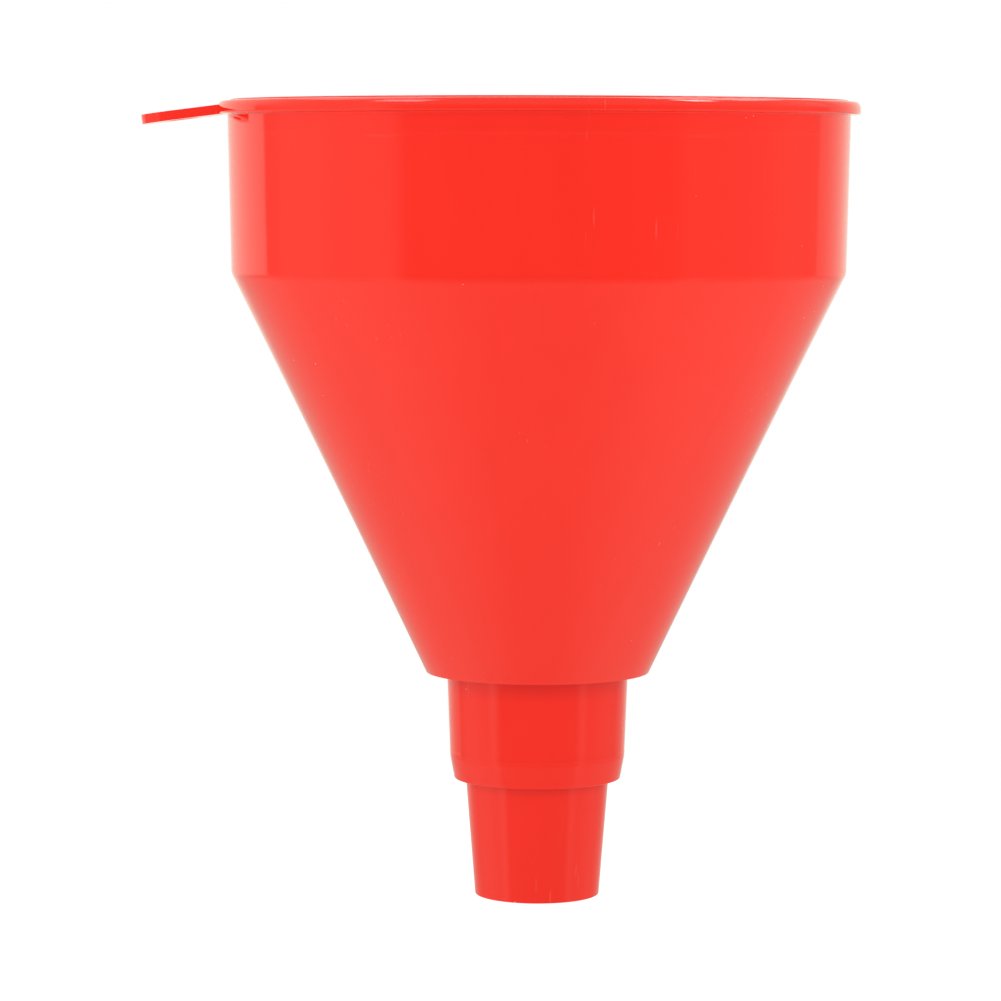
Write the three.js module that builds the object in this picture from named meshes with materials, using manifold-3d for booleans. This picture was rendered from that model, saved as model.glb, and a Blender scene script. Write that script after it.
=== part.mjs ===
// A large funnel for fuel and workshop fluids, with a removable strainer.
// The funnel itself is one moulding: a rim lip, a straight bowl wall, a cone, a flat ledge, a collar
// and a narrower tip, with a drooping tab at one side of the rim to hang it up by. The strainer
// stands on the ledge and lifts straight out. It has four pieces: frame, gauze, clamp ring and knob.
//
// Millimetres, +Z up. The origin is on the funnel's axis, in the plane of the tip's mouth, and the
// tab points along -X.

import * as THREE from "three";
import { mergeVertices } from "three/addons/utils/BufferGeometryUtils.js";
import Module from "manifold-3d";

const wasm = await Module();
wasm.setup();

// ---- Driving dimensions ----

const ROUND = 72; // facets around the funnel's own surfaces
const WALL = 2.0; // wall thickness, square to the surface
const FLOOR = 2.4; // thickness of the ledge

const HEIGHT = 300; // mouth of the tip to the top of the rim
const RIM_RADIUS = 120; // nose of the lip
const RIM_EDGE_RADIUS = 115.3; // outside of the low raised edge around the mouth
const LIP_FOOT_Z = 294.5; // where the lip's underside meets the bowl wall
const LIP_SLOPE = 0.05; // rise of the lip's underside on its way out, per mm
const LIP_BEVEL = 0.8; // corner under the lip's nose
const LIP_NOSE_Z = 296.3; // top of the nose's upright part
const LIP_ROUND_REACH = 1.6; // rounding above the nose
const LIP_ROUND_RISE = 3;
const LIP_SHOULDER_Z = 299.7; // top of the lip, at the foot of the raised edge

const BOWL_TOP_RADIUS = 116.35;
const BOWL_FOOT_RADIUS = 115.05;
const BOWL_FOOT_Z = 235.5;

const LEDGE_RADIUS = 42.15; // foot of the cone, a sharp corner
const LEDGE_Z = 85; // underside of the ledge

const COLLAR_TOP_RADIUS = 34.2;
const COLLAR_CREASE_RADIUS = 32.95; // where the collar's lead-in taper begins
const COLLAR_CREASE_Z = 53;
const COLLAR_END_RADIUS = 31.4;
const COLLAR_END_Z = 44.5; // flat shoulder above the tip

const TIP_TOP_RADIUS = 27.05;
const TIP_END_RADIUS = 23.45;

const TAB_REACH = 148.7; // funnel's axis to the end of the tab
const TAB_WIDTH = 30;
const TAB_CORNER = 13;
const TAB_THICKNESS = 3.5;
const TAB_TOP_Z = 297.8; // top of the tab where it leaves the lip
const TAB_DROOP = THREE.MathUtils.degToRad(7.3);
const TAB_HOLE_RADIUS = 6;
const TAB_HOLE_INSET = 15; // centre of the hole to the end of the tab

const CLEARANCE = 0.3; // gap between pieces that rest on or fit into each other
const SEAT_THICKNESS = 2.5; // strainer frame's seat ring and bars
const FRAME_HEIGHT = 8;
const FRAME_WALL = 1.8;
const FRAME_OPENING = 31.4; // radius inside the seat ring
const BAR_COUNT = 6;
const BAR_WIDTH = 2.4;
const HUB_RADIUS = 7.5;
const HUB_DEPTH = 6.5; // hub's length, most of it below the seat
const HUB_TAPER = 1; // how much narrower the hub is at its lower end
const OVERLAP = 1; // how far the bars run into the hub and the ring
const STEM_RADIUS = 2.9;
const GAUZE_THICKNESS = 0.6;
const CLAMP_HEIGHT = 3;
const CLAMP_OPENING = 33; // radius inside the clamp ring
const CLAMP_BEVEL = 1.2;
const KNOB_RADIUS = 9.5;
const KNOB_HEIGHT = 27; // gauze to the top of the knob
const KNOB_HEAD_DEPTH = 10;
const KNOB_HEAD_FLAT = 1; // radius of the flat on top of the head
const KNOB_NECK_RADIUS = 3.7;
const KNOB_CHAMFER = 1.5; // under the head
const FLANGE_HEIGHT = 2; // flange that presses on the gauze
const FLANGE_CHAMFER = 0.8;
const BARB_LENGTH = 4; // stem's snap-in end, below the hub
const BARB_STEP = 1; // how far the barb stands out from the stem
const BARB_POINT = 0.9; // how much narrower than the stem its point is

// ---- Places worked out from them ----

const CONE_SLOPE = (BOWL_FOOT_RADIUS - LEDGE_RADIUS) / (BOWL_FOOT_Z - LEDGE_Z);
const CONE_OFFSET = WALL * Math.hypot(1, CONE_SLOPE); // wall thickness measured sideways
const SEAT_Z = LEDGE_Z + FLOOR; // top of the ledge
const FRAME_Z = SEAT_Z + CLEARANCE;
const GAUZE_Z = FRAME_Z + SEAT_THICKNESS + CLEARANCE;
const CLAMP_Z = GAUZE_Z + GAUZE_THICKNESS + CLEARANCE;
const HUB_BOTTOM_Z = FRAME_Z + SEAT_THICKNESS - HUB_DEPTH;

// Radius inside the cone's wall at a height.
const coneInside = (z) => LEDGE_RADIUS + (z - LEDGE_Z) * CONE_SLOPE - CONE_OFFSET;
// Radius inside the strainer frame's leaning wall at a height.
const frameInside = (z) => coneInside(z) - 2 * CLEARANCE - FRAME_WALL;

// ---- Materials ----

const red = new THREE.MeshStandardMaterial({ color: 0xf5352a, roughness: 0.28, metalness: 0 });
const black = new THREE.MeshStandardMaterial({ color: 0x1c1d1f, roughness: 0.5, metalness: 0 });
const brass = new THREE.MeshStandardMaterial({ color: 0xc79a4b, roughness: 0.35, metalness: 1 });

// ---- Helpers ----

// Turns a profile of [radius, height] pairs about the Z axis. A profile that stays off the axis is
// closed on itself.
function turned(profile, facets) {
  const points = profile.map(([r, z]) => new THREE.Vector2(r, z));
  const onAxis = profile[0][0] === 0;
  if (!onAxis) points.push(points[0].clone());
  const geometry = new THREE.LatheGeometry(points, facets);
  geometry.rotateX(Math.PI / 2);
  return geometry;
}

// Points on a quarter of an ellipse from its side to its top, both ends included.
function quarterRound(centre, reach, rise, steps) {
  const points = [];
  for (let i = 0; i <= steps; i += 1) {
    const angle = ((Math.PI / 2) * i) / steps;
    points.push([centre[0] + reach * Math.cos(angle), centre[1] + rise * Math.sin(angle)]);
  }
  return points;
}

function solidFrom(geometry) {
  const bare = geometry.index ? geometry.toNonIndexed() : geometry.clone();
  bare.deleteAttribute("normal");
  bare.deleteAttribute("uv");
  const merged = mergeVertices(bare, 1e-4);
  return new wasm.Manifold(
    new wasm.Mesh({
      numProp: 3,
      vertProperties: new Float32Array(merged.attributes.position.array),
      triVerts: new Uint32Array(merged.index.array),
    }),
  );
}

function geometryFrom(solid) {
  const mesh = solid.getMesh();
  const geometry = new THREE.BufferGeometry();
  geometry.setAttribute("position", new THREE.BufferAttribute(mesh.vertProperties, 3));
  geometry.setIndex(new THREE.BufferAttribute(mesh.triVerts, 1));
  geometry.computeVertexNormals();
  return geometry;
}

function piece(name, geometry, material) {
  const mesh = new THREE.Mesh(geometry, material);
  mesh.name = name;
  return mesh;
}

// ---- The funnel ----

function funnelShell() {
  const roundCentre = [RIM_RADIUS - LIP_ROUND_REACH, LIP_NOSE_Z];
  const lip = quarterRound(roundCentre, LIP_ROUND_REACH, LIP_ROUND_RISE, 4);
  const bevelRadius = RIM_RADIUS - LIP_BEVEL;
  const bevelZ = LIP_FOOT_Z + LIP_SLOPE * (bevelRadius - BOWL_TOP_RADIUS);
  const outside = [
    [TIP_END_RADIUS, 0],
    [TIP_TOP_RADIUS, COLLAR_END_Z],
    [COLLAR_END_RADIUS, COLLAR_END_Z],
    [COLLAR_CREASE_RADIUS, COLLAR_CREASE_Z],
    [COLLAR_TOP_RADIUS, LEDGE_Z],
    [LEDGE_RADIUS, LEDGE_Z],
    [BOWL_FOOT_RADIUS, BOWL_FOOT_Z],
    [BOWL_TOP_RADIUS, LIP_FOOT_Z],
    [bevelRadius, bevelZ],
    [RIM_RADIUS, bevelZ + LIP_BEVEL],
    ...lip,
    [RIM_EDGE_RADIUS, LIP_SHOULDER_Z],
    [RIM_EDGE_RADIUS, HEIGHT],
  ];
  const shoulderTop = COLLAR_END_Z + WALL;
  const inside = [
    [BOWL_TOP_RADIUS - WALL, HEIGHT],
    [BOWL_FOOT_RADIUS - WALL, BOWL_FOOT_Z + WALL * CONE_SLOPE],
    [coneInside(SEAT_Z), SEAT_Z],
    [COLLAR_TOP_RADIUS - WALL, SEAT_Z],
    [COLLAR_CREASE_RADIUS - WALL, COLLAR_CREASE_Z],
    [COLLAR_END_RADIUS - WALL, shoulderTop],
    [TIP_TOP_RADIUS - WALL, shoulderTop],
    [TIP_END_RADIUS - WALL, 0],
  ];
  return turned([...outside, ...inside], ROUND);
}

// Flat tab with rounded outer corners and its hole, lying along -X from the bowl wall. Its outline
// is drawn from the point on its top face where it leaves the lip, which it droops about.
function tabPlate() {
  const end = (TAB_REACH - RIM_RADIUS) / Math.cos(TAB_DROOP);
  const root = RIM_RADIUS - BOWL_TOP_RADIUS + WALL / 2;
  const half = TAB_WIDTH / 2;
  const bend = end - TAB_CORNER;
  const outline = new THREE.Shape();
  outline.moveTo(root, half);
  outline.lineTo(-bend, half);
  outline.absarc(-bend, half - TAB_CORNER, TAB_CORNER, Math.PI / 2, Math.PI, false);
  outline.absarc(-bend, TAB_CORNER - half, TAB_CORNER, Math.PI, 1.5 * Math.PI, false);
  outline.lineTo(root, -half);
  outline.closePath();
  const hole = new THREE.Path();
  hole.absarc(TAB_HOLE_INSET - end, 0, TAB_HOLE_RADIUS, 0, 2 * Math.PI, true);
  outline.holes.push(hole);
  const settings = { depth: TAB_THICKNESS, bevelEnabled: false, curveSegments: 8 };
  const plate = new THREE.ExtrudeGeometry(outline, settings);
  plate.translate(0, 0, -TAB_THICKNESS);
  plate.rotateY(-TAB_DROOP);
  plate.translate(-RIM_RADIUS, 0, TAB_TOP_Z);
  return plate;
}

function funnelBody() {
  const bowlSpace = turned(
    [
      [0, BOWL_FOOT_Z + WALL],
      [BOWL_FOOT_RADIUS - WALL / 2, BOWL_FOOT_Z + WALL],
      [BOWL_TOP_RADIUS - WALL / 2, HEIGHT + WALL],
      [0, HEIGHT + WALL],
    ],
    ROUND,
  );
  const tab = solidFrom(tabPlate()).subtract(solidFrom(bowlSpace));
  return piece("funnel_body", geometryFrom(solidFrom(funnelShell()).add(tab)), red);
}

// ---- The strainer ----

// Seat ring with a wall that leans with the cone, six bars and a hub.
function strainerFrame() {
  const seatTop = FRAME_Z + SEAT_THICKNESS;
  const top = FRAME_Z + FRAME_HEIGHT;
  const ring = turned(
    [
      [FRAME_OPENING, FRAME_Z],
      [coneInside(FRAME_Z) - 2 * CLEARANCE, FRAME_Z],
      [coneInside(top) - 2 * CLEARANCE, top],
      [frameInside(top), top],
      [frameInside(seatTop), seatTop],
      [FRAME_OPENING, seatTop],
    ],
    ROUND,
  );
  const hub = turned(
    [
      [STEM_RADIUS + CLEARANCE, HUB_BOTTOM_Z],
      [HUB_RADIUS - HUB_TAPER, HUB_BOTTOM_Z],
      [HUB_RADIUS, FRAME_Z],
      [HUB_RADIUS, seatTop],
      [STEM_RADIUS + CLEARANCE, seatTop],
    ],
    ROUND / 3,
  );
  let frame = solidFrom(ring).add(solidFrom(hub));
  const inner = HUB_RADIUS - OVERLAP;
  const length = FRAME_OPENING + OVERLAP - inner;
  for (let i = 0; i < BAR_COUNT; i += 1) {
    const bar = new THREE.BoxGeometry(length, BAR_WIDTH, SEAT_THICKNESS);
    bar.translate(inner + length / 2, 0, FRAME_Z + SEAT_THICKNESS / 2);
    bar.rotateZ((2 * Math.PI * i) / BAR_COUNT);
    frame = frame.add(solidFrom(bar));
  }
  return piece("strainer_frame", geometryFrom(frame), black);
}

// Disc of woven wire with a hole for the knob's stem.
function strainerGauze() {
  const edge = frameInside(GAUZE_Z) - 2 * CLEARANCE;
  const top = GAUZE_Z + GAUZE_THICKNESS;
  const disc = turned(
    [
      [STEM_RADIUS + 2 * CLEARANCE, GAUZE_Z],
      [edge, GAUZE_Z],
      [edge, top],
      [STEM_RADIUS + 2 * CLEARANCE, top],
    ],
    ROUND / 2,
  );
  return piece("strainer_gauze", disc, brass);
}

// Ring pressed into the frame over the gauze's edge, bevelled towards the middle.
function strainerClampRing() {
  const top = CLAMP_Z + CLAMP_HEIGHT;
  const ring = turned(
    [
      [CLAMP_OPENING, CLAMP_Z],
      [frameInside(CLAMP_Z) - CLEARANCE, CLAMP_Z],
      [frameInside(top) - CLEARANCE, top],
      [CLAMP_OPENING + CLAMP_BEVEL, top],
      [CLAMP_OPENING, top - CLAMP_BEVEL],
    ],
    ROUND,
  );
  return piece("strainer_clamp_ring", ring, black);
}

// Pull knob: barbed stem through the hub, a flange that holds the gauze down, and a round head.
function strainerKnob() {
  const barbZ = HUB_BOTTOM_Z - CLEARANCE;
  const barbRadius = STEM_RADIUS + BARB_STEP;
  const flangeRadius = HUB_RADIUS - HUB_TAPER;
  const flangeTop = CLAMP_Z + FLANGE_HEIGHT;
  const top = GAUZE_Z + KNOB_HEIGHT;
  const headZ = top - KNOB_HEAD_DEPTH;
  const rise = KNOB_HEAD_DEPTH / 2;
  const head = quarterRound([KNOB_HEAD_FLAT, top - rise], KNOB_RADIUS - KNOB_HEAD_FLAT, rise, 5);
  const knob = turned(
    [
      [0, barbZ - BARB_LENGTH],
      [STEM_RADIUS - BARB_POINT, barbZ - BARB_LENGTH],
      [barbRadius, barbZ - BARB_STEP],
      [barbRadius, barbZ],
      [STEM_RADIUS, barbZ],
      [STEM_RADIUS, CLAMP_Z],
      [flangeRadius, CLAMP_Z],
      [flangeRadius, flangeTop - FLANGE_CHAMFER],
      [KNOB_NECK_RADIUS, flangeTop],
      [KNOB_NECK_RADIUS, headZ - KNOB_CHAMFER],
      [KNOB_RADIUS - KNOB_CHAMFER, headZ],
      ...head,
      [0, top],
    ],
    ROUND / 3,
  );
  return piece("strainer_knob", knob, black);
}

const strainer = new THREE.Group();
strainer.add(strainerFrame(), strainerGauze(), strainerClampRing(), strainerKnob());

const funnel = new THREE.Group();
funnel.add(funnelBody(), strainer);

export default funnel;
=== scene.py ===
"""A large moulded funnel with a removable gauze strainer, standing on its tip in a white studio."""

import math

import bmesh
import bpy
from bpy.props import FloatProperty, FloatVectorProperty, IntProperty, PointerProperty
from bpy.types import Operator, Panel, PropertyGroup
from mathutils import Matrix, Vector


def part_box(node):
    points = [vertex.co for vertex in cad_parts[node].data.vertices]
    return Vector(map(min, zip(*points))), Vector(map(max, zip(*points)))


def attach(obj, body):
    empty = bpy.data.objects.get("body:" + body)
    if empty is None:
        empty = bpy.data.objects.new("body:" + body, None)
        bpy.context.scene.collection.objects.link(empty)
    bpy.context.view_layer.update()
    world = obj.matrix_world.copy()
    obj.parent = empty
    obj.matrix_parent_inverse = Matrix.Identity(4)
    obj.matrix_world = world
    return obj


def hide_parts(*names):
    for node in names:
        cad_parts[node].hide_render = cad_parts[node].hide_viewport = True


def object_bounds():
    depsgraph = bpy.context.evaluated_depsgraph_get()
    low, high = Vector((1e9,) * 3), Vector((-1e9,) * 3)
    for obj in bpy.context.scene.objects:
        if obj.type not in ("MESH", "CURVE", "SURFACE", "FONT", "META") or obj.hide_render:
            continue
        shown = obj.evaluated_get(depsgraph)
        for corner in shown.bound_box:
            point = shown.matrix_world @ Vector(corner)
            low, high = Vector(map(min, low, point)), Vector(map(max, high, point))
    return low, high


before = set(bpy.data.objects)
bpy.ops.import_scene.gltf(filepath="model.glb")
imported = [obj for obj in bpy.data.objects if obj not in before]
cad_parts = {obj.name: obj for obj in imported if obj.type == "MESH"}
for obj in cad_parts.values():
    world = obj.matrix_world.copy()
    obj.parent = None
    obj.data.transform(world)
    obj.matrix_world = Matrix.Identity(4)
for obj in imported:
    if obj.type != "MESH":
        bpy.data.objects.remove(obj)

bl_info = {
    "name": "Funnel",
    "version": (1, 0, 0),
    "blender": (4, 5, 0),
    "location": "View3D > Sidebar > Funnel",
    "description": "Builds a moulded funnel with a gauze strainer around its CAD frame",
    "category": "Add Mesh",
}

CAD_LOW, CAD_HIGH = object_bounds()
BODY_LOW, BODY_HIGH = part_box("funnel_body")
FRAME_LOW, FRAME_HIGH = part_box("strainer_frame")
GAUZE_LOW, GAUZE_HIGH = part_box("strainer_gauze")
CLAMP_LOW, CLAMP_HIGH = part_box("strainer_clamp_ring")
KNOB_LOW, KNOB_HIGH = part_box("strainer_knob")
MM = 0.001
ON_AXIS = 1e-7
SHARP_ANGLE = math.radians(28)


# ---- Sizes and colours ----


def length(name, description, default):
    return FloatProperty(
        name=name, description=description, default=default, unit="LENGTH", precision=5
    )


def colour(name, description, default):
    return FloatVectorProperty(
        name=name, description=description, default=default, size=3, subtype="COLOR", min=0, max=1
    )


class FunnelSizes(PropertyGroup):
    """Sizes of the moulding; heights are above the tip's mouth"""

    facets: IntProperty(name="Facets", description="Faces around the funnel", default=360)
    wall: length("Wall", "Thickness of the walls", 2.0 * MM)
    floor: length("Ledge thickness", "Thickness of the ledge under the strainer", 2.4 * MM)
    lip_foot: length("Lip foot", "Height where the lip's underside meets the bowl", 294.5 * MM)
    lip_slope: FloatProperty(name="Lip slope", description="Rise of the underside", default=0.05)
    lip_corner: length("Lip corner", "Round under the lip's nose", 0.8 * MM)
    lip_nose: length("Lip nose", "Height where the lip is widest", 296.3 * MM)
    lip_reach: length("Lip round reach", "Width of the round above the nose", 1.6 * MM)
    lip_rise: length("Lip round rise", "Height of the round above the nose", 3.0 * MM)
    lip_shoulder: length("Lip shoulder", "Height of the lip's top at the raised edge", 299.7 * MM)
    rim_edge: length("Raised edge radius", "Outside of the low edge around the mouth", 115.3 * MM)
    bowl_top: length("Bowl top radius", "Outside of the bowl under the lip", 116.35 * MM)
    bowl_foot: length("Bowl foot radius", "Outside of the bowl at its foot", 115.05 * MM)
    bowl_foot_height: length("Bowl foot", "Height where bowl and cone meet", 235.5 * MM)
    bowl_round: length("Bowl round", "Outside round between bowl and cone", 6.0 * MM)
    cone_bow: length("Cone bow", "How far the cone's middle is drawn in", 0.35 * MM)
    ripple: length("Ripple", "Height of the bowl's faint ring and the collar's bead", 0.06 * MM)
    ripple_height: length("Ripple place", "Height of the bowl's faint ring", 286.5 * MM)
    ledge: length("Ledge radius", "Outside of the cone's foot", 42.15 * MM)
    ledge_height: length("Ledge", "Height of the ledge's underside", 85.0 * MM)
    collar_top: length("Collar top radius", "Collar under the ledge", 34.2 * MM)
    collar_crease: length("Collar crease radius", "Where the lead-in begins", 32.95 * MM)
    collar_crease_height: length("Collar crease", "Height of the crease", 53.0 * MM)
    collar_end: length("Collar end radius", "End of the lead-in", 31.4 * MM)
    shoulder_height: length("Shoulder", "Height of the step above the tip", 44.5 * MM)
    tip_top: length("Tip top radius", "Tip under the step", 27.05 * MM)
    tip_end: length("Tip end radius", "Outside of the tip's mouth", 23.45 * MM)
    tab_width: length("Tab width", "Width of the hanging tab", 30 * MM)
    tab_corner: length("Tab corner", "Radius of the tab's corners", 13 * MM)
    tab_thickness: length("Tab thickness", "Thickness of the hanging tab", 3.5 * MM)
    tab_top: length("Tab top", "Height of the tab's top where it leaves the lip", 297.8 * MM)
    tab_droop: FloatProperty(
        name="Tab droop", description="Slope of the tab", default=math.radians(7.3), unit="ROTATION"
    )
    tab_hole: length("Tab hole radius", "Hole to hang the funnel by", 6 * MM)
    tab_hole_inset: length("Tab hole inset", "End of the tab to the hole's centre", 15 * MM)


class StrainerSizes(PropertyGroup):
    """Sizes of the strainer"""

    facets: IntProperty(name="Facets", description="Faces around the rings", default=240)
    clearance: length("Clearance", "Gap between pieces that fit together", 0.3 * MM)
    seat: length("Seat thickness", "Thickness of the seat ring and bars", 2.5 * MM)
    frame_wall: length("Frame wall", "Thickness of the frame's leaning wall", 1.8 * MM)
    opening: length("Opening", "Radius inside the seat ring", 31.4 * MM)
    bars: IntProperty(name="Bars", description="Bars under the gauze", default=6)
    bar_width: length("Bar width", "Width of each bar", 2.4 * MM)
    hub: length("Hub radius", "Outside of the frame's hub", 7.5 * MM)
    hub_taper: length("Hub taper", "How much narrower the hub's foot is", 1.0 * MM)
    overlap: length("Overlap", "How far the bars run into the hub and the seat ring", 1.0 * MM)
    stem: length("Stem radius", "Knob's stem", 2.9 * MM)
    barb: length("Barb length", "Stem's barb under the hub", 4.0 * MM)
    barb_step: length("Barb step", "How far the barb stands out from the stem", 1.0 * MM)
    barb_point: length("Barb point", "How much narrower the barb's point is", 0.9 * MM)
    flange: length("Flange", "Thickness of the knob's flange on the gauze", 1.2 * MM)
    flange_rise: length("Flange rise", "Height of the slope from flange to neck", 0.8 * MM)
    neck: length("Neck", "How far the knob's neck stands out from the stem", 0.8 * MM)
    knob_depth: length("Knob depth", "Depth of the knob's head", 10.0 * MM)
    knob_flat: length("Knob flat", "Radius of the flat on top of the head", 1.0 * MM)
    knob_chamfer: length("Knob chamfer", "Slope under the head", 1.5 * MM)
    clamp_opening: length("Clamp opening", "Radius inside the clamp ring", 33 * MM)
    clamp_bevel: length("Clamp bevel", "Bevel inside the clamp ring", 1.2 * MM)
    wire: length("Wire", "Diameter of the gauze's wires", 0.44 * MM)
    pitch: length("Pitch", "Distance between the gauze's wires", 1.4 * MM)
    gauze: length("Gauze radius", "Reach of the wires under the clamp ring", 36 * MM)


class Finishes(PropertyGroup):
    """Colours of the pieces"""

    red: colour("Red", "Polyethylene of the funnel", (0.97, 0.012, 0.002))
    red_deep: colour("Deep red", "Streaks in the polyethylene", (0.94, 0.01, 0.001))
    painted_shade: colour("Shade below steps", "Corners under the ledge and the collar", (0.85, 0.006, 0.001))
    # Painted shade: a darker red for the wall just under the ledge and under the tip's step
    dust: colour("Dust", "Specks on the funnel", (0.95, 0.55, 0.5))
    black: colour("Black", "Frame, clamp ring and knob", (0.016, 0.016, 0.018))
    brass: colour("Brass", "Gauze wires", (0.72, 0.47, 0.17))


# ---- Shader expressions ----


class Wire:
    """A shader socket that can be used in sums; each sum adds a Math node."""

    def __init__(self, tree, socket):
        self.tree, self.socket = tree, socket

    def node(self, kind, settings=None, inputs=None, output=0):
        return add_node(self.tree, kind, settings, inputs, output)

    def math(self, operation, *others):
        values = dict(enumerate((self, *others)))
        return self.node("ShaderNodeMath", {"operation": operation}, values)

    def __add__(self, other):
        return self.math("ADD", other)

    def __sub__(self, other):
        return self.math("SUBTRACT", other)

    def __mul__(self, other):
        return self.math("MULTIPLY", other)

    def __rsub__(self, other):
        return self.node("ShaderNodeMath", {"operation": "SUBTRACT"}, {0: other, 1: self})

    __radd__ = __add__
    __rmul__ = __mul__

    def above(self, edge, softness):
        """0 below the edge, rising to 1 over the softness."""
        settings = {"clamp": True}
        values = {"Value": self, "From Min": edge, "From Max": edge + softness}
        return self.node("ShaderNodeMapRange", settings, values)


def add_node(tree, kind, settings=None, inputs=None, output=0):
    """Adds a node: settings are set first, then socket values or links."""
    node = tree.nodes.new(kind)
    for key, value in (settings or {}).items():
        setattr(node, key, value)
    for key, value in (inputs or {}).items():
        socket = node.inputs[key]
        if isinstance(value, Wire):
            tree.links.new(value.socket, socket)
        elif isinstance(value, (int, float)):
            socket.default_value = value
        else:
            room = len(socket.default_value)
            socket.default_value = (*value, 1.0)[:room]
    return Wire(tree, node.outputs[output]) if len(node.outputs) else None


class Finish:
    """A material under construction."""

    def __init__(self, name):
        self.material = bpy.data.materials.new(name)
        self.material.use_nodes = True
        self.tree = self.material.node_tree
        self.tree.nodes.clear()
        self.place = self.node("ShaderNodeTexCoord", output="Object")

    def node(self, kind, settings=None, inputs=None, output=0):
        return add_node(self.tree, kind, settings, inputs, output)

    def stretched(self, scale, turn=(0, 0, 0)):
        values = {"Vector": self.place, "Scale": scale, "Rotation": turn}
        return self.node("ShaderNodeMapping", {}, values)

    def noise(self, scale, detail=2.0, roughness=0.5, at=None, distortion=0.0):
        values = {
            "Vector": at or self.place,
            "Scale": scale,
            "Detail": detail,
            "Roughness": roughness,
            "Distortion": distortion,
        }
        return self.node("ShaderNodeTexNoise", {}, values)

    def cells(self, scale, at=None):
        """Distance to the nearest of a scatter of points."""
        values = {"Vector": at or self.place, "Scale": scale}
        return self.node("ShaderNodeTexVoronoi", {}, values)

    def mix(self, factor, first, second):
        settings = {"data_type": "RGBA", "clamp_factor": True}
        return self.node("ShaderNodeMix", settings, {0: factor, 6: first, 7: second}, 2)

    def bump(self, height, distance, strength=1.0, under=None):
        values = {"Height": height, "Distance": distance, "Strength": strength}
        if under:
            values["Normal"] = under
        return self.node("ShaderNodeBump", {}, values)

    def surface(self, **inputs):
        named = {key.replace("_", " "): value for key, value in inputs.items()}
        shader = self.node("ShaderNodeBsdfPrincipled", {}, named)
        self.node("ShaderNodeOutputMaterial", {}, {"Surface": shader})
        return self.material


def scratches(finish, turn, reach, density, thinness):
    """Short fine scratches that lie along one direction: 1 on a scratch, 0 elsewhere."""
    lane = finish.stretched((density, density, density / reach), turn)
    line = finish.cells(1.0, lane)
    broken = finish.noise(24.0, 1.0).above(0.58, 0.05)
    return (1 - line.above(thinness, thinness)) * broken


def painted_shade_below_step(finish, height, reach):
    """Painted shade on the wall below a step, thickest in the corner and gone past the reach."""
    edge = 0.3 * MM
    rising = finish.node("ShaderNodeSeparateXYZ", {}, {0: finish.place}, 2)
    below = 1 - rising.above(height - edge, edge)
    return rising.above(height - reach, reach - 1 * MM) * below


def red_polyethylene(finishes):
    """Glossy moulded polyethylene: flow streaks, scratches, pale specks and painted shade under
    steps.
    """
    finish = Finish("red_polyethylene")
    flow = finish.noise(1.0, 3.0, 0.6, finish.stretched((26, 26, 5)), 0.4)
    cloud = finish.noise(14.0, 2.0)
    tone = (flow * 0.7 + cloud * 0.3).above(0.38, 0.3)
    tint = finish.mix(tone, finishes.red, finishes.red_deep)
    sizes = bpy.context.scene.funnel_sizes
    # Painted shade: darker red on the wall just under the ledge and just under the step above the
    # tip
    shade_below_ledge = painted_shade_below_step(finish, sizes.ledge_height, 8 * MM)
    shade_below_step = painted_shade_below_step(finish, sizes.shoulder_height, 4 * MM)
    tint = finish.mix(shade_below_ledge + shade_below_step * 0.6, tint, finishes.painted_shade)
    speck = (1 - finish.cells(110.0).above(0.022, 0.016)) * finish.noise(19.0).above(0.5, 0.03)
    scuff = finish.noise(1.0, 4.0, 0.7, finish.stretched((60, 60, 22))).above(0.6, 0.2)
    upright = scratches(finish, (0, 0, 0), 16, 330, 0.07)
    slanted = scratches(finish, (0.5, 0.9, 0.3), 12, 300, 0.07)
    marks = upright + slanted
    tint = finish.mix(speck * 0.6 + marks * 0.05 + scuff * 0.008, tint, finishes.dust)
    rough = cloud * 0.03 + scuff * 0.1 + marks * 0.2 + speck * 0.3 + 0.055
    ripple = finish.noise(46.0, 1.0) * 0.6 + finish.noise(170.0, 2.0) * 0.12
    normal = finish.bump(ripple, 0.00012, 0.4)
    normal = finish.bump(speck - marks * 0.3, 0.00004, 0.8, normal)
    return finish.surface(
        Base_Color=tint,
        Roughness=rough,
        Normal=normal,
        IOR=1.5,
        Subsurface_Weight=0.08,
        Subsurface_Radius=(1.0, 0.12, 0.08),
        Subsurface_Scale=0.002,
    )


def black_polymer(finishes):
    """Satin black moulding with the fine grain of an eroded tool."""
    finish = Finish("black_polymer")
    grain = finish.noise(2600.0, 2.0, 0.6)
    cloud = finish.noise(60.0, 3.0)
    worn = finish.mix(cloud.above(0.45, 0.3), finishes.black, [2.2 * c for c in finishes.black])
    rough = grain * 0.12 + cloud * 0.1 + 0.32
    normal = finish.bump(grain, 0.00003, 0.5)
    return finish.surface(Base_Color=worn, Roughness=rough, Normal=normal, IOR=1.49)


def brass_wire(finishes):
    """Drawn brass wire, a little tarnished in patches."""
    finish = Finish("gauze_brass")
    patch = finish.noise(90.0, 3.0, 0.6)
    dull = [0.55 * c for c in finishes.brass]
    tint = finish.mix(patch.above(0.5, 0.25), finishes.brass, dull)
    rough = patch * 0.25 + 0.2
    drawn = finish.noise(5200.0, 1.0)
    normal = finish.bump(drawn, 0.00001, 0.4)
    return finish.surface(Base_Color=tint, Roughness=rough, Normal=normal, Metallic=1.0)


def material_for(slot):
    """The slot's material, made the first time it is asked for."""
    makers = {
        "red_polyethylene": red_polyethylene,
        "black_polymer": black_polymer,
        "gauze_brass": brass_wire,
    }
    name = f"{slot}_finish"
    found = bpy.data.materials.get(name)
    if found is None:
        found = makers[slot](bpy.context.scene.funnel_finishes)
        found.name = name
    return found


# ---- Mesh helpers ----


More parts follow.
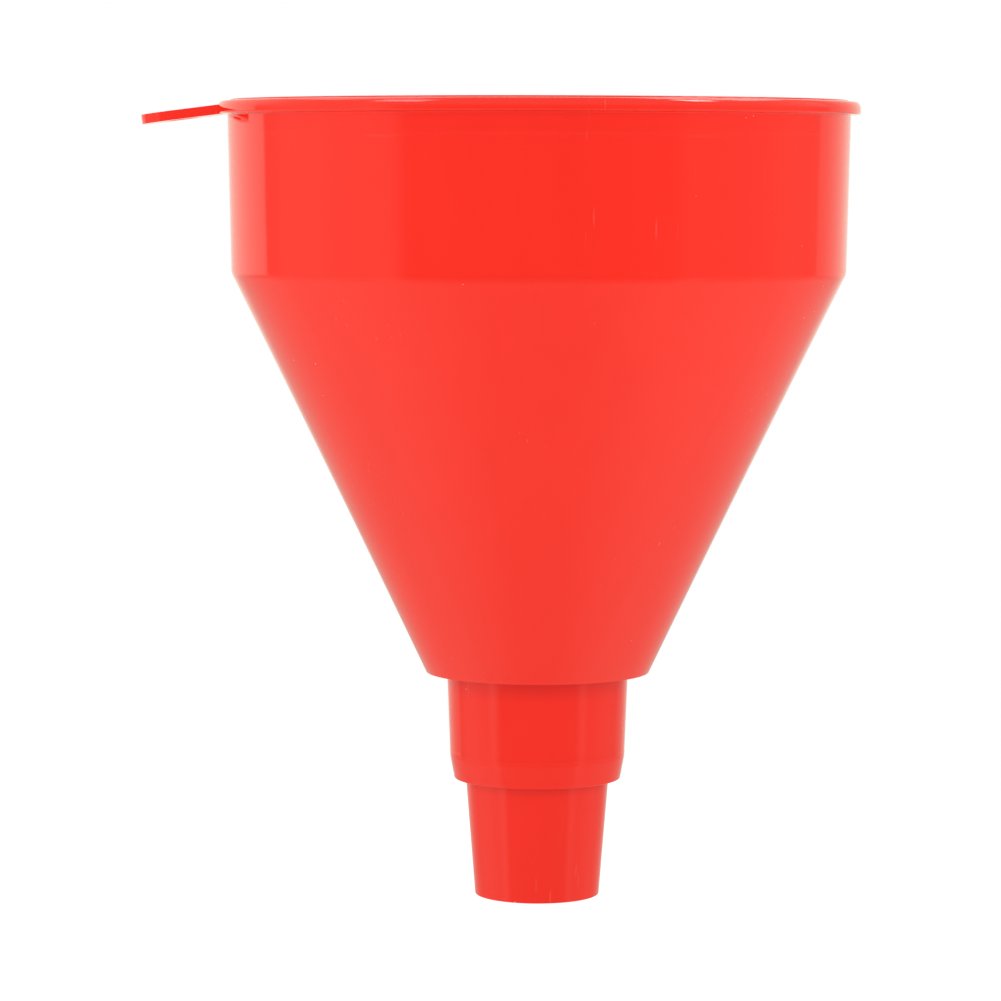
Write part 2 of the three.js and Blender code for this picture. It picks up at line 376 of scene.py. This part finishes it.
def rounded(corners, steps=5):
    """Turns (radius, height, round) corners into a closed profile with an arc at each round."""
    points = []
    count = len(corners)
    for i, (r, z, size) in enumerate(corners):
        here = Vector((r, z))
        if size <= 0:
            points.append(here)
            continue
        back = (Vector(corners[i - 1][:2]) - here).normalized()
        on = (Vector(corners[(i + 1) % count][:2]) - here).normalized()
        half = back.angle(on) / 2
        reach = size / math.tan(half)
        start, end = here + back * reach, here + on * reach
        centre = here + (back + on).normalized() * (size / math.sin(half))
        first, last = start - centre, end - centre
        sweep = first.angle_signed(last)
        for k in range(steps + 1):
            points.append(centre + Matrix.Rotation(-sweep * k / steps, 2) @ first)
    return points


def quarter_round(centre, reach, rise, steps):
    """Points on a quarter of an ellipse from its side to its top."""
    angles = [math.pi / 2 * i / steps for i in range(steps + 1)]
    return [(centre[0] + reach * math.cos(a), centre[1] + rise * math.sin(a), 0) for a in angles]


def turned(name, profile, facets):
    """Closed solid turned about the Z axis; points on the axis become poles."""
    mesh = bmesh.new()
    rings = []
    for r, z in profile:
        if r < ON_AXIS:
            rings.append([mesh.verts.new((0, 0, z))] * facets)
            continue
        turns = [2 * math.pi * k / facets for k in range(facets)]
        rings.append([mesh.verts.new((r * math.cos(t), r * math.sin(t), z)) for t in turns])
    for i, ring in enumerate(rings):
        following = rings[(i + 1) % len(rings)]
        if max(ring[0].co.xy.length, following[0].co.xy.length) < ON_AXIS:
            continue
        for k in range(facets):
            after = (k + 1) % facets
            around = [ring[k], ring[after], following[after], following[k]]
            corners = list(dict.fromkeys(around))
            mesh.faces.new(corners)
    return finished(name, mesh)


def finished(name, mesh):
    """Links a bmesh as an object, with its faces pointing out."""
    bmesh.ops.recalc_face_normals(mesh, faces=mesh.faces)
    data = bpy.data.meshes.new(name)
    mesh.to_mesh(data)
    mesh.free()
    made = bpy.data.objects.new(name, data)
    bpy.context.collection.objects.link(made)
    return made


def apply_modifiers(piece):
    graph = bpy.context.evaluated_depsgraph_get()
    graph.update()
    data = bpy.data.meshes.new_from_object(piece.evaluated_get(graph))
    piece.modifiers.clear()
    old = piece.data
    piece.data = data
    bpy.data.meshes.remove(old)


def joined(base, others, operation="UNION"):
    """Joins or cuts base with the others, which are used up."""
    for other in others:
        cut = base.modifiers.new("join", "BOOLEAN")
        cut.operation = operation
        cut.solver = "MANIFOLD"
        cut.object = other
    apply_modifiers(base)
    for other in others:
        data = other.data
        bpy.data.objects.remove(other)
        bpy.data.meshes.remove(data)
    return base


def smoothed(piece, angle=SHARP_ANGLE):
    """Smooth faces with hard edges past the angle, and large faces that stay flat."""
    piece.data.shade_smooth()
    piece.data.set_sharp_from_angle(angle=angle)
    weighted = piece.modifiers.new("even_shading", "WEIGHTED_NORMAL")
    weighted.keep_sharp = True
    weighted.weight = 100
    apply_modifiers(piece)
    return piece


def placed(piece, body, node, slot):
    """Gives the piece its finish and its body, and hides the CAD node that it stands for."""
    piece.data.materials.clear()
    piece.data.materials.append(material_for(slot))
    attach(piece, body)
    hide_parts(node)


# ---- The funnel ----


def cone_inside(s, height):
    """Radius inside the cone's wall at a height."""
    slope = (s.bowl_foot - s.ledge) / (s.bowl_foot_height - s.ledge_height)
    return s.ledge + (height - s.ledge_height) * slope - s.wall * math.hypot(1, slope)


def bowed_cone(s):
    """Points along the cone, drawn in a little towards its middle."""
    steps = 8
    points = []
    for i in range(1, steps):
        t = i / steps
        straight = s.ledge + (s.bowl_foot - s.ledge) * t
        height = s.ledge_height + (s.bowl_foot_height - s.ledge_height) * t
        points.append((straight - s.cone_bow * 4 * t * (1 - t), height, 0))
    return points


def swell(low, high, at, size):
    """A shallow swelling on the straight line from low to high, as profile corners."""
    half = 1.0 * MM
    corners = []
    for height, out in ((at - half, 0), (at, size), (at + half, 0)):
        t = (height - low[1]) / (high[1] - low[1])
        corners.append((low[0] + (high[0] - low[0]) * t + out, height, half))
    return corners


def funnel_profile(s):
    """Outline of the funnel's wall as (radius, height, round) corners, from the mouth up."""
    top, rim = BODY_HIGH.z, BODY_HIGH.y
    slope = (s.bowl_foot - s.ledge) / (s.bowl_foot_height - s.ledge_height)
    nose_foot = s.lip_foot + s.lip_slope * (rim - s.bowl_top)
    lip = quarter_round((rim - s.lip_reach, s.lip_nose), s.lip_reach, s.lip_rise, 10)
    seat = s.ledge_height + s.floor
    step = s.shoulder_height + s.wall
    crease, collar = (s.collar_crease, s.collar_crease_height), (s.collar_top, s.ledge_height)
    bowl_foot, bowl_top = (s.bowl_foot, s.bowl_foot_height), (s.bowl_top, s.lip_foot)
    outside = [
        (s.tip_end, 0, 0.5 * MM),
        (s.tip_top, s.shoulder_height, 0.5 * MM),
        (s.collar_end, s.shoulder_height, 0.45 * MM),
        (s.collar_crease, s.collar_crease_height, 0.5 * MM),
        *swell(crease, collar, s.collar_crease_height + 1.6 * MM, s.ripple),
        (s.collar_top, s.ledge_height, 0.9 * MM),
        (s.ledge, s.ledge_height, 0.3 * MM),
        *bowed_cone(s),
        (s.bowl_foot, s.bowl_foot_height, s.bowl_round),
        *swell(bowl_foot, bowl_top, s.ripple_height, s.ripple),
        (s.bowl_top, s.lip_foot, 0.5 * MM),
        (rim, nose_foot, s.lip_corner),
        *lip,
        (s.rim_edge, s.lip_shoulder, 0.14 * MM),
        (s.rim_edge, top, 0.15 * MM),
    ]
    inside = [
        (s.bowl_top - s.wall, top, 0.5 * MM),
        (s.bowl_foot - s.wall, s.bowl_foot_height + s.wall * slope, 2.5 * MM),
        (cone_inside(s, seat), seat, 0.5 * MM),
        (s.collar_top - s.wall, seat, 0.4 * MM),
        (s.collar_crease - s.wall, s.collar_crease_height, 2.0 * MM),
        (s.collar_end - s.wall, step, 0.8 * MM),
        (s.tip_top - s.wall, step, 1.0 * MM),
        (s.tip_end - s.wall, 0, 0.3 * MM),
    ]
    return rounded(outside + inside)


def arc(centre, radius, start, end, steps):
    turns = [start + (end - start) * i / steps for i in range(steps + 1)]
    return [(centre[0] + radius * math.cos(t), centre[1] + radius * math.sin(t)) for t in turns]


def tab_outline(s, reach):
    """Outline of the tab with its rounded end; x runs out from the lip."""
    half, bend = s.tab_width / 2, reach - s.tab_corner
    root = -(BODY_HIGH.y - s.bowl_top + s.wall / 2)
    corner = arc((bend, half - s.tab_corner), s.tab_corner, math.pi / 2, 0, 16)
    upper = [(root, half), *corner]
    return upper + [(x, -y) for x, y in reversed(upper)]


def tab_plate(s):
    """Drooping tab with softened edges and a hanging hole, from the bowl's wall outward."""
    reach = (-BODY_LOW.x - BODY_HIGH.y) / math.cos(s.tab_droop)
    outline = tab_outline(s, reach)
    mesh = bmesh.new()
    face = mesh.faces.new([mesh.verts.new((-x, y, -s.tab_thickness)) for x, y in outline])
    raised = bmesh.ops.extrude_face_region(mesh, geom=[face])
    top = [v for v in raised["geom"] if isinstance(v, bmesh.types.BMVert)]
    bmesh.ops.translate(mesh, vec=(0, 0, s.tab_thickness), verts=top)
    plate = finished("tab_plate", mesh)
    past = 3 * s.tab_thickness
    hole = turned("tab_hole", [(0, -past), (s.tab_hole, -past), (s.tab_hole, past), (0, past)], 96)
    hole.data.transform(Matrix.Translation((s.tab_hole_inset - reach, 0, 0)))
    joined(plate, [hole], "DIFFERENCE")
    soften_rims(plate, s.tab_thickness)
    droop = Matrix.Rotation(-s.tab_droop, 4, "Y")
    plate.data.transform(Matrix.Translation((-BODY_HIGH.y, 0, s.tab_top)) @ droop)
    return plate


def soften_rims(plate, thickness):
    """Rounds the edges between the plate's flat faces and its sides."""
    mesh = bmesh.new()
    mesh.from_mesh(plate.data)
    level, upright, share = 0.9, 0.1, 0.2
    flat = [f for f in mesh.faces if abs(f.normal.z) > level]
    edges = {e for f in flat for e in f.edges}
    rims = [e for e in edges if any(abs(f.normal.z) < upright for f in e.link_faces)]
    bmesh.ops.bevel(
        mesh,
        geom=rims,
        offset=share * thickness,
        offset_type="OFFSET",
        segments=4,
        profile=0.5,
        affect="EDGES",
        clamp_overlap=True,
    )
    mesh.to_mesh(plate.data)
    mesh.free()


class FUNNEL_OT_moulding(Operator):
    """Build the funnel: lip, bowl, cone, ledge, collar, tip and hanging tab in one moulding"""

    bl_idname = "funnel.moulding"
    bl_label = "Funnel moulding"

    def execute(self, context):
        s = context.scene.funnel_sizes
        shell = turned("funnel_moulding", funnel_profile(s), s.facets)
        clear = (s.bowl_foot - s.wall / 2, s.bowl_top - s.wall / 2)
        low, high = s.bowl_foot_height + s.wall, BODY_HIGH.z + s.wall
        space = [(0, low), (clear[0], low), (clear[1], high), (0, high)]
        tab = joined(tab_plate(s), [turned("bowl_space", space, s.facets)], "DIFFERENCE")
        body = smoothed(joined(shell, [tab]))
        placed(body, "funnel", "funnel_body", "red_polyethylene")
        return {"FINISHED"}


# ---- The strainer ----


class FUNNEL_OT_strainer_frame(Operator):
    """Build the strainer's frame: seat ring with a leaning wall, bars and hub"""

    bl_idname = "funnel.strainer_frame"
    bl_label = "Strainer frame"

    def execute(self, context):
        s, f = context.scene.strainer_sizes, context.scene.funnel_sizes
        seat = f.ledge_height + f.floor + s.clearance
        seat_top, top = seat + s.seat, FRAME_HIGH.z
        outer = cone_inside(f, seat) - 2 * s.clearance
        outer_top = FRAME_HIGH.y
        inner_top = outer_top - s.frame_wall
        lean = (outer_top - outer) / (top - seat)
        inner = inner_top - (top - seat_top) * lean
        ring = [
            (s.opening, seat, 0.4 * MM),
            (outer, seat, 0.5 * MM),
            (outer_top, top, 0.5 * MM),
            (inner_top, top, 0.5 * MM),
            (inner, seat_top, 0.3 * MM),
            (s.opening, seat_top, 0.4 * MM),
        ]
        hub_low, bore = FRAME_LOW.z, s.stem + s.clearance
        hub = [
            (bore, hub_low, 0.3 * MM),
            (s.hub - s.hub_taper, hub_low, 0.8 * MM),
            (s.hub, seat, 0.5 * MM),
            (s.hub, seat_top, 0.3 * MM),
            (bore, seat_top, 0.2 * MM),
        ]
        piece = turned("strainer_frame_moulding", rounded(ring), s.facets)
        parts = [turned("hub", rounded(hub), s.facets // 3)]
        start = s.hub - s.overlap
        reach = s.opening + s.overlap - start
        for i in range(s.bars):
            bar = self.bar(reach, s.bar_width, s.seat)
            out = Matrix.Translation((start + reach / 2, 0, seat + s.seat / 2))
            bar.data.transform(Matrix.Rotation(2 * math.pi * i / s.bars, 4, "Z") @ out)
            parts.append(bar)
        smoothed(joined(piece, parts))
        placed(piece, "strainer", "strainer_frame", "black_polymer")
        return {"FINISHED"}

    @staticmethod
    def bar(reach, width, depth):
        """Bar with rounded long edges, drafted towards its underside."""
        draft, soft = 0.85, 0.45 * MM
        corners = [
            (-width / 2, depth / 2, soft / 2),
            (-width / 2 * draft, -depth / 2, soft),
            (width / 2 * draft, -depth / 2, soft),
            (width / 2, depth / 2, soft / 2),
        ]
        section = rounded(corners)
        mesh = bmesh.new()
        ends = []
        for x in (-reach / 2, reach / 2):
            ends.append([mesh.verts.new((x, p.x, p.y)) for p in section])
        for k in range(len(section)):
            after = (k + 1) % len(section)
            mesh.faces.new((ends[0][k], ends[0][after], ends[1][after], ends[1][k]))
        mesh.faces.new(ends[0])
        mesh.faces.new(ends[1][::-1])
        return finished("bar", mesh)


class FUNNEL_OT_strainer_gauze(Operator):
    """Weave the strainer's gauze, wire over wire under wire"""

    bl_idname = "funnel.strainer_gauze"
    bl_label = "Strainer gauze"

    def execute(self, context):
        s = context.scene.strainer_sizes
        mesh = bmesh.new()
        middle = (GAUZE_LOW.z + GAUZE_HIGH.z) / 2
        hole = s.stem + 3 * s.clearance
        rows = int(s.gauze / s.pitch)
        for row in range(-rows, rows + 1):
            across = row * s.pitch
            reach = math.sqrt(s.gauze**2 - across**2)
            gap = math.sqrt(max(hole**2 - across**2, 0))
            spans = [(-reach, -gap), (gap, reach)] if gap else [(-reach, reach)]
            for span in spans:
                for warp in (True, False):
                    self.wire(mesh, s, row, span, warp, middle)
        piece = finished("strainer_gauze_wires", mesh)
        piece.data.shade_smooth()
        placed(piece, "strainer", "strainer_gauze", "gauze_brass")
        return {"FINISHED"}

    @staticmethod
    def wire(mesh, s, row, span, warp, middle):
        """One wavy wire; the other set's wires cross it a pitch apart."""
        sides, per_pitch, crimp = 5, 4, 0.53
        steps = max(1, round((span[1] - span[0]) / s.pitch * per_pitch))
        across = row * s.pitch
        lift = s.wire * crimp * (1 if warp else -1)
        rings = []
        for k in range(steps + 1):
            along = span[0] + (span[1] - span[0]) * k / steps
            wave = math.pi * (along / s.pitch + row)
            height = lift * math.cos(wave)
            ring = []
            for side in range(sides):
                turn = 2 * math.pi * side / sides
                out = across + s.wire / 2 * math.cos(turn)
                up = middle + height + s.wire / 2 * math.sin(turn)
                ring.append(mesh.verts.new((along, out, up) if warp else (out, along, up)))
            rings.append(ring)
        for near, far in zip(rings, rings[1:]):
            for side in range(sides):
                after = (side + 1) % sides
                mesh.faces.new((near[side], near[after], far[after], far[side]))
        mesh.faces.new(rings[0])
        mesh.faces.new(rings[-1][::-1])


class FUNNEL_OT_clamp_ring(Operator):
    """Build the ring that holds the gauze down in the frame"""

    bl_idname = "funnel.clamp_ring"
    bl_label = "Clamp ring"

    def execute(self, context):
        s = context.scene.strainer_sizes
        low, top = CLAMP_LOW.z, CLAMP_HIGH.z
        outer_top = CLAMP_HIGH.y
        f = context.scene.funnel_sizes
        outer = outer_top - (cone_inside(f, top) - cone_inside(f, low))
        ring = [
            (s.clamp_opening, low, 0.3 * MM),
            (outer, low, 0.3 * MM),
            (outer_top, top, 0.4 * MM),
            (s.clamp_opening + s.clamp_bevel, top, 0.4 * MM),
            (s.clamp_opening, top - s.clamp_bevel, 0.4 * MM),
        ]
        piece = smoothed(turned("clamp_ring_moulding", rounded(ring), s.facets))
        placed(piece, "strainer", "strainer_clamp_ring", "black_polymer")
        return {"FINISHED"}


class FUNNEL_OT_knob(Operator):
    """Build the pull knob with its barbed stem"""

    bl_idname = "funnel.knob"
    bl_label = "Pull knob"

    def execute(self, context):
        s = context.scene.strainer_sizes
        low, top, head = KNOB_LOW.z, KNOB_HIGH.z, KNOB_HIGH.y
        barb, flange = low + s.barb, CLAMP_LOW.z
        barb_reach, flange_reach, neck = s.stem + s.barb_step, s.hub - s.hub_taper, s.stem + s.neck
        flange_top, head_foot = flange + s.flange, top - s.knob_depth
        half = s.knob_depth / 2
        crown = quarter_round((s.knob_flat, top - half), head - s.knob_flat, half, 14)
        outline = [
            (0, low, 0),
            (s.stem - s.barb_point, low, 0.4 * MM),
            (barb_reach, barb - s.barb_step, 0.3 * MM),
            (barb_reach, barb, 0.2 * MM),
            (s.stem, barb, 0.2 * MM),
            (s.stem, flange, 0.2 * MM),
            (flange_reach, flange, 0.2 * MM),
            (flange_reach, flange_top, 0.4 * MM),
            (neck, flange_top + s.flange_rise, 0.8 * MM),
            (neck, head_foot - 1.0 * MM, 1.2 * MM),
            (head - s.knob_chamfer, head_foot, 1.5 * MM),
            *crown,
            (0, top, 0),
        ]
        piece = smoothed(turned("knob_moulding", rounded(outline), s.facets // 2))
        placed(piece, "strainer", "strainer_knob", "black_polymer")
        return {"FINISHED"}


# ---- The studio ----


class StudioSettings(PropertyGroup):
    """Camera, floor and lamps"""

    distance: length("Camera distance", "Camera to the funnel's axis", 1.5037)
    height: length("Camera height", "Camera above the floor", 0.2775)
    aside: length("Camera aside", "Camera's offset to the left of the axis", 0.0144)
    tilt: FloatProperty(
        name="Camera tilt", description="Downward tilt", default=math.radians(4.86), unit="ROTATION"
    )
    roll: FloatProperty(
        name="Camera roll", description="Lean", default=math.radians(-0.12), unit="ROTATION"
    )
    lens: FloatProperty(name="Lens", description="Focal length", default=143.86)
    floor_radius: length("Floor", "Radius of the round white floor", 0.3)
    floor_glow: FloatProperty(name="Floor glow", description="Light from the floor", default=1.0)
    front: FloatProperty(name="Front", description="Room behind the camera", default=0.56)
    left: FloatProperty(name="Left", description="Left screen", default=0.92)
    right: FloatProperty(name="Right", description="Right screen", default=0.71)
    above: FloatProperty(name="Above", description="Ceiling", default=0.95)
    low_front: FloatProperty(name="Low front", description="Table in front", default=0.89)
    low_side: FloatProperty(name="Low side", description="Table at the sides", default=1.12)
    low_back: FloatProperty(name="Low back", description="Table at the back corners", default=0.8)
    low_far: FloatProperty(name="Low far", description="Table straight behind", default=0.86)
    strip: FloatProperty(name="Strips", description="Narrow lights at both sides", default=0.3)
    corner: FloatProperty(name="Corner", description="Gaps beside the backdrop", default=0.44)
    back: FloatProperty(name="Back", description="Backdrop straight behind", default=0.94)
    back_left: FloatProperty(name="Back left", description="Backdrop's left edge", default=1.0)
    back_right: FloatProperty(name="Back right", description="Backdrop's right edge", default=0.62)
    tint: colour("Room tint", "Warmth of the room's light", (1.0, 1.0, 0.86))


def white_floor(settings):
    """Pale floor that glows, so that shadows on it stay faint."""
    finish = Finish("studio_floor")
    cloud = finish.noise(2.0, 2.0)
    shade = finish.mix(cloud, (0.16, 0.16, 0.16), (0.18, 0.18, 0.18))
    return finish.surface(
        Base_Color=shade,
        Roughness=0.9,
        Specular_IOR_Level=0.0,
        Emission_Color=(1, 1, 1),
        Emission_Strength=settings.floor_glow,
    )


# Bends of the room's light: where each begins, as a turn in radians or a height, and its softness
LEFT_HALF = (-0.05, 0.1)
SCREEN_START, SCREEN_END = (-0.72, 0.12), (0.0, 0.45)
STRIP_START, STRIP_END = (-0.66, 0.14), (-0.5, 0.14)
STRIP_TOP = (-0.085, 0.02)
STRIP_DROP = 0.04
CORNER_START, CORNER_END = (0.32, 0.2), (0.75, 0.3)
CORNER_FOOT = (-0.45, 0.3)
TABLE_SIDE, TABLE_BACK, TABLE_FAR = (-1.2, 0.9), (0.05, 0.85), (1.0, 0.5)
TABLE_EDGE = (0.08, 0.7)
CEILING_EDGE = (0.02, 0.25)
BACKDROP_EDGE, BACKDROP_FOOT = (0.594, 0.02), (-0.22, 0.12)
BACKDROP_LEAN = 0.06
BACKDROP_MIDDLE = (0.7, 0.45)


def blend(share, first, second):
    """First where the share is 0, second where it is 1."""
    return first + share * (second - first)


def studio_world(settings):
    """White backdrop behind, screens at the sides; plain white where the camera sees it."""
    world = bpy.data.worlds.new("studio")
    bpy.context.scene.world = world
    world.use_nodes = True
    tree = world.node_tree
    tree.nodes.clear()
    direction = add_node(tree, "ShaderNodeTexCoord", output="Generated")
    split = direction.node("ShaderNodeSeparateXYZ", {}, {0: direction}).socket.node
    x, y, z = (Wire(tree, split.outputs[i]) for i in range(3))
    # turn is -90 degrees towards the camera's side and +90 degrees straight behind the funnel
    turn = y.math("ARCTAN2", x.math("ABSOLUTE"))
    leftward = 1 - x.above(*LEFT_HALF)
    screen = turn.above(*SCREEN_START) - turn.above(*SCREEN_END)
    strip_height = 1 - (z + (1 - leftward) * STRIP_DROP).above(*STRIP_TOP)
    strip = (turn.above(*STRIP_START) - turn.above(*STRIP_END)) * strip_height
    corner = (turn.above(*CORNER_START) - turn.above(*CORNER_END)) * z.above(*CORNER_FOOT)
    side = blend(leftward, settings.right, settings.left)
    level = blend(screen, settings.front, side)
    level = blend(corner, level, settings.corner) + strip * settings.strip
    under = blend(turn.above(*TABLE_SIDE), settings.low_front, settings.low_side)
    under = under + turn.above(*TABLE_BACK) * (settings.low_back - settings.low_side)
    under = under + turn.above(*TABLE_FAR) * (settings.low_far - settings.low_back)
    down, up = (0 - z).above(*TABLE_EDGE), z.above(*CEILING_EDGE)
    room = level + down * (under - level) + up * (settings.above - level)
    edge = blend(leftward, settings.back_right, settings.back_left)
    backdrop = blend(turn.above(*BACKDROP_MIDDLE), edge, settings.back)
    behind = (turn + leftward * BACKDROP_LEAN).above(*BACKDROP_EDGE) * z.above(*BACKDROP_FOOT)
    light = blend(behind, room, backdrop)
    seen = add_node(tree, "ShaderNodeLightPath", output="Is Camera Ray")
    scale = {"operation": "SCALE"}
    lit = add_node(tree, "ShaderNodeVectorMath", scale, {0: settings.tint, "Scale": light})
    colours = {0: seen, 6: lit, 7: (1, 1, 1)}
    shown = add_node(tree, "ShaderNodeMix", {"data_type": "RGBA"}, colours, 2)
    glow = add_node(tree, "ShaderNodeBackground", {}, {"Color": shown})
    add_node(tree, "ShaderNodeOutputWorld", {}, {"Surface": glow})


def softbox(name, azimuth, elevation, distance, size, power, aim):
    """Area lamp round the funnel; azimuth 0 is the camera's side and 90 is to the right."""
    lamp = bpy.data.lights.new(name, "AREA")
    lamp.shape = "RECTANGLE"
    lamp.size, lamp.size_y = size
    lamp.energy = power
    holder = bpy.data.objects.new(name, lamp)
    a, e = math.radians(azimuth), math.radians(elevation)
    out = Vector((math.sin(a) * math.cos(e), -math.cos(a) * math.cos(e), math.sin(e)))
    holder.location = aim + out * distance
    holder.rotation_euler = (-out).to_track_quat("-Z", "Y").to_euler()
    holder.visible_camera = False
    bpy.context.collection.objects.link(holder)
    return holder


def lamps():
    """Soft lamps near the bowl for the colour, and windows high up for the highlights."""
    bowl = Vector((0, 0, 0.26))
    # name, azimuth, elevation, distance, size, power
    soft_lamps = (
        ("left_lamp", -48, 0, 0.42, (0.3, 0.3), 0.27),
        ("right_lamp", 48, 0, 0.42, (0.3, 0.3), 0.33),
    )
    windows = (
        ("key_window", 66, 44, 1.6, (0.3, 0.4), 5),
        ("fill_window", -55, 40, 1.7, (0.5, 0.5), 4),
        ("right_window", 115, 57, 1.6, (1.0, 0.8), 10),
        ("left_window", -115, 57, 1.6, (1.0, 0.8), 4),
    )
    for lamp in soft_lamps:
        softbox(*lamp, bowl).visible_glossy = False
    for window in windows:
        softbox(*window, bowl).visible_diffuse = False


class FUNNEL_OT_stage(Operator):
    """Set up the floor, the lamps, the room and the camera"""

    bl_idname = "funnel.stage"
    bl_label = "Studio"

    def execute(self, context):
        settings = context.scene.studio_settings
        mesh = bmesh.new()
        bmesh.ops.create_circle(mesh, cap_ends=True, segments=128, radius=settings.floor_radius)
        clear = 0.2 * MM
        bmesh.ops.translate(mesh, vec=(0, 0, CAD_LOW.z - clear), verts=mesh.verts)
        floor = finished("studio_floor", mesh)
        floor.data.materials.append(white_floor(settings))
        floor.visible_glossy = False
        floor.visible_diffuse = False
        floor.visible_shadow = False
        studio_world(settings)
        lamps()
        camera = bpy.data.cameras.new("camera")
        camera.lens = settings.lens
        camera.sensor_width = 36
        camera.clip_end = 100
        holder = bpy.data.objects.new("camera", camera)
        holder.location = (-settings.aside, -settings.distance, settings.height)
        holder.rotation_euler = (math.pi / 2 - settings.tilt, settings.roll, 0)
        context.collection.objects.link(holder)
        context.scene.camera = holder
        context.scene.view_settings.view_transform = "Standard"
        return {"FINISHED"}


# ---- Panel and registration ----


BUILDERS = (
    FUNNEL_OT_stage,
    FUNNEL_OT_moulding,
    FUNNEL_OT_strainer_frame,
    FUNNEL_OT_strainer_gauze,
    FUNNEL_OT_clamp_ring,
    FUNNEL_OT_knob,
)


class VIEW3D_PT_funnel(Panel):
    """Lists the builders in the order they are run"""

    bl_label = "Funnel"
    bl_idname = "VIEW3D_PT_funnel"
    bl_space_type = "VIEW_3D"
    bl_region_type = "UI"
    bl_category = "Funnel"

    def draw(self, context):
        for builder in BUILDERS:
            self.layout.operator(builder.bl_idname)


SETTINGS = {
    "funnel_sizes": FunnelSizes,
    "strainer_sizes": StrainerSizes,
    "funnel_finishes": Finishes,
    "studio_settings": StudioSettings,
}


def register():
    for kind in (*SETTINGS.values(), *BUILDERS, VIEW3D_PT_funnel):
        bpy.utils.register_class(kind)
    for name, kind in SETTINGS.items():
        setattr(bpy.types.Scene, name, PointerProperty(type=kind))


def unregister():
    for name in SETTINGS:
        delattr(bpy.types.Scene, name)
    for kind in (VIEW3D_PT_funnel, *reversed(BUILDERS), *SETTINGS.values()):
        bpy.utils.unregister_class(kind)


def main():
    """Builds every piece."""
    register()
    for builder in BUILDERS:
        group, action = builder.bl_idname.split(".")
        getattr(getattr(bpy.ops, group), action)()


if __name__ == "__main__":
    main()
